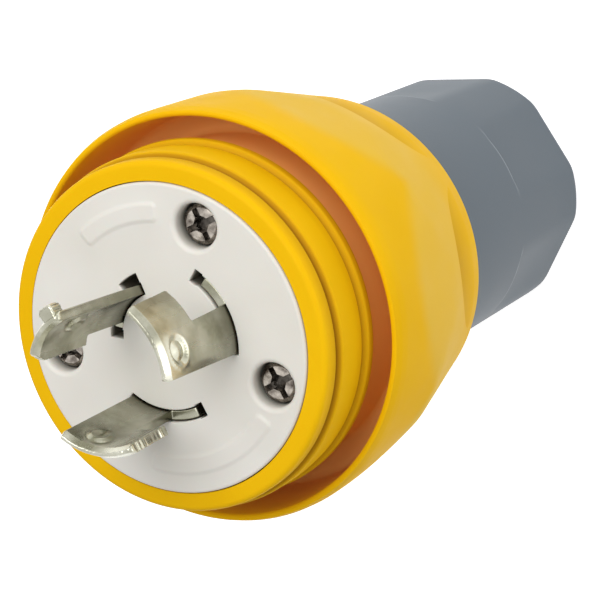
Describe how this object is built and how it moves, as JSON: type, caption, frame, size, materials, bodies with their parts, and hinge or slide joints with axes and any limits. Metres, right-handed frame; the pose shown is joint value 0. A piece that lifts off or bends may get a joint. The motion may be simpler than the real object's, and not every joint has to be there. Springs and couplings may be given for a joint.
{
  "type": "locking power plug",
  "caption": "Round locking plug with curved hooked blades in a white face, a rubber boot with an open shroud, and a long clamp nut for the cord.",
  "frame": {"origin": "centre of the clamp nut's flat rear end, on the plug's axis", "axes": "+Z along the plug's axis from the nut to the blades; +X through the neck of line blade X, 8.5 degrees before its middle when going counterclockwise as seen from the front"},
  "size_m": [0.062, 0.062, 0.1226],
  "materials": {
    "nut_plastic": "satin grey moulded plastic",
    "boot_rubber": "satin yellow moulded elastomer",
    "face_plastic": "satin warm white moulded plastic",
    "natural_plastic": "satin natural plastic",
    "housing_plastic": "matte dark plastic",
    "black_rubber": "matte black rubber",
    "blade_metal": "satin nickel plating on brass",
    "terminal_brass": "bare brass",
    "plated_steel": "plated steel, slightly dark"
  },
  "bodies": {
    "root": {"clamp_nut": "nut_plastic", "slip_washer": "plated_steel", "grip_collet": "natural_plastic", "bushing_follower": "natural_plastic", "cord_bushing": "black_rubber", "inner_housing": "housing_plastic", "nut_seal_ring": "black_rubber", "boot": "boot_rubber", "face_gasket": "black_rubber", "face_insulator": "face_plastic", "rear_insulator": "natural_plastic", "neutral_blade": "blade_metal", "line_blade_x": "blade_metal", "line_blade_y": "blade_metal", "neutral_clamp_plate": "terminal_brass", "line_clamp_plate_x": "terminal_brass", "line_clamp_plate_y": "terminal_brass", "terminal_screws": "terminal_brass", "assembly_screws": "plated_steel", "threaded_inserts": "terminal_brass"}
  },
  "joints": []
}
